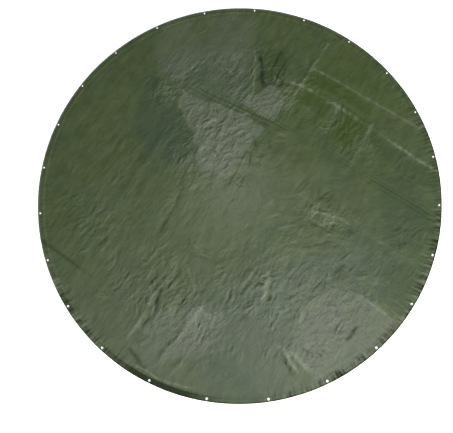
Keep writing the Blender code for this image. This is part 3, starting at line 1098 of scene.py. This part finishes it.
def turned_mesh(name, profile, mat):
    """Spins a closed (radius, height) profile about Z."""
    sides = 40
    bm = bmesh.new()
    verts = []
    for k in range(sides):
        angle = 2 * math.pi * k / sides
        verts.append([bm.verts.new((r * math.cos(angle), r * math.sin(angle), z)) for r, z in profile])
    count = len(profile)
    for k in range(sides):
        here, there = verts[k], verts[(k + 1) % sides]
        for i in range(count):
            bm.faces.new((here[i], there[i], there[(i + 1) % count], here[(i + 1) % count]))
    bmesh.ops.recalc_face_normals(bm, faces=bm.faces)
    mesh = bpy.data.meshes.new(name)
    bm.to_mesh(mesh)
    bm.free()
    mesh.materials.append(mat)
    mesh.shade_smooth()
    mesh.set_sharp_from_angle(angle=math.radians(50))
    return mesh


def body_at(s):
    """Body that carries what lies this far across the seams."""
    if s > FAR_FOLD:
        return "far_flap"
    return "near_flap" if s < NEAR_FOLD else "centre"


def make_eyelets():
    eyelet = turned_mesh("eyelet", eyelet_profile(), FLANGE_METAL)
    washer = turned_mesh("washer", washer_profile(), WASHER_METAL)
    for name, (x, y), s, turn in zip(EYELETS, EYELET_XY, EYELET_S, EYELET_TURN):
        for mesh, kind in ((eyelet, "eyelet"), (washer, "washer")):
            number = name.split("_")[1]
            made = placed(f"set_{kind}_{number}", mesh, (x, y, 0))
            made.rotation_euler = (0, 0, float(turn) * 7)
            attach(made, body_at(s))
            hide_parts(f"{kind}_{number}")


def rope_mesh(name, start, end):
    """Three twisted strands as one tube, along the hem from one turn to another."""
    sides, spacing = 12, 0.004
    count = max(8, round((end - start) * RIM_RING / spacing))
    turns = np.linspace(start, end, count + 1)
    centre_t, centre_s = RIM_RING * np.sin(turns), RIM_RING * np.cos(turns)
    up = fold_ridge(rise(centre_t, centre_s)[0], centre_s)
    around = np.arange(sides) * 2 * math.pi / sides
    twist = turns * RIM_RING * 2 * math.pi / ROPE_PITCH
    lobe = np.abs(np.cos(1.5 * (around[None, :] - twist[:, None])))
    radius = ROPE_R * (0.86 + 0.14 * lobe)
    r = RIM_RING + radius * np.cos(around)
    z = ROPE_Z + up[:, None] + radius * np.sin(around)
    z = np.maximum(z, GROUND_GAP)
    t, s = r * np.sin(turns)[:, None], r * np.cos(turns)[:, None]
    co = np.concatenate([in_frame(t, s), z[..., None]], axis=2).reshape(-1, 3)
    rings = np.arange(len(co)).reshape(-1, sides)
    faces = quads_between(np.hstack([rings, rings[:, :1]]))
    faces += [rings[0, ::-1].tolist(), rings[-1].tolist()]
    mesh = bpy.data.meshes.new(name)
    mesh.from_pydata(co.tolist(), [], faces)
    mesh.materials.append(ROPE)
    mesh.shade_smooth()
    return placed(name, mesh)


def make_ropes():
    """Four lengths of rope, parted beside the fold lines."""
    reach = 4 * BEND / RIM_RING
    gap = 0.0003 / RIM_RING
    far_end = chord_turn(FAR_FOLD, RIM_RING) + reach
    near_end = chord_turn(NEAR_FOLD, RIM_RING) - reach
    far = rope_mesh("rope_far", -far_end, far_end)
    near = rope_mesh("rope_near", near_end, 2 * math.pi - near_end)
    right = rope_mesh("rope_right", far_end + gap, near_end - gap)
    left = rope_mesh("rope_left", -near_end + gap, -far_end - gap)
    blend_flaps(far, near)
    for made in (right, left):
        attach(made, "centre")
    for made in (far, near, right, left):
        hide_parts("hem_" + made.name)


# -------- floor, light, camera
def make_floor():
    mesh = bpy.data.meshes.new("floor")
    size = 30.0
    corners = [(-size, -size, 0), (size, -size, 0), (size, size, 0), (-size, size, 0)]
    mesh.from_pydata(corners, [], [(0, 1, 2, 3)])
    floor = placed("floor", mesh, (0, 0, -0.0006))
    mat, _, surface = new_material("pale_floor")
    surface.inputs["Base Color"].default_value = (0.92, 0.92, 0.92, 1)
    surface.inputs["Roughness"].default_value = 0.9
    surface.inputs["Emission Color"].default_value = (1, 1, 1, 1)
    surface.inputs["Emission Strength"].default_value = 0.8
    mesh.materials.append(mat)


def area_light(name, location, target, size, power, glossy=True):
    data = bpy.data.lights.new(name, "AREA")
    data.shape = "SQUARE"
    data.size = size
    data.energy = power
    light = placed(name, data, location)
    direction = Vector(target) - Vector(location)
    light.rotation_euler = direction.to_track_quat("-Z", "Y").to_euler()
    light.visible_camera = False
    light.visible_glossy = glossy


def make_light():
    """A ceiling that brightens towards the near side, three soft boxes, and a pale backdrop."""
    world = bpy.data.worlds.new("studio")
    world.use_nodes = True
    tree = world.node_tree
    background = tree.nodes["Background"]
    direction = node(tree, "ShaderNodeTexCoord")
    toward = node(tree, "ShaderNodeVectorMath", operation="DOT_PRODUCT")
    toward.inputs[1].default_value = Vector((0.05, -0.52, 0.85)).normalized()
    tree.links.new(direction.outputs["Generated"], toward.inputs[0])
    sky = ranged(tree, toward.outputs["Value"], 0.5, 1, 0.09, 1.38)
    seen = node(tree, "ShaderNodeLightPath").outputs["Is Camera Ray"]
    backdrop = math_node(tree, "MAXIMUM", sky, seen)
    tree.links.new(backdrop, background.inputs["Strength"])
    background.inputs["Color"].default_value = (1, 1, 1, 1)
    bpy.context.scene.world = world
    area_light("near_right_high", (1.38, -2.05, 3.0), (0.8, -1.0, 0), 2.4, 20)
    area_light("right_low", (13.6, -10.4, 4.2), (0, 0, 0), 2.8, 6200, glossy=False)
    area_light("overhead", (-0.1, 0.78, 3.0), (0, 0, 0), 0.9, 7)
    bpy.context.scene.view_settings.view_transform = "Standard"


def make_camera():
    data = bpy.data.cameras.new("camera")
    data.sensor_width = 36.0
    data.lens = 19.87
    made = placed("camera", data, (0.036, -0.569, 2.192))
    made.rotation_mode = "YXZ"
    made.rotation_euler = (math.radians(7.51), math.radians(2.42), 0)
    bpy.context.scene.camera = made


make_sheets()
make_eyelets()
make_ropes()
make_floor()
make_light()
make_camera()
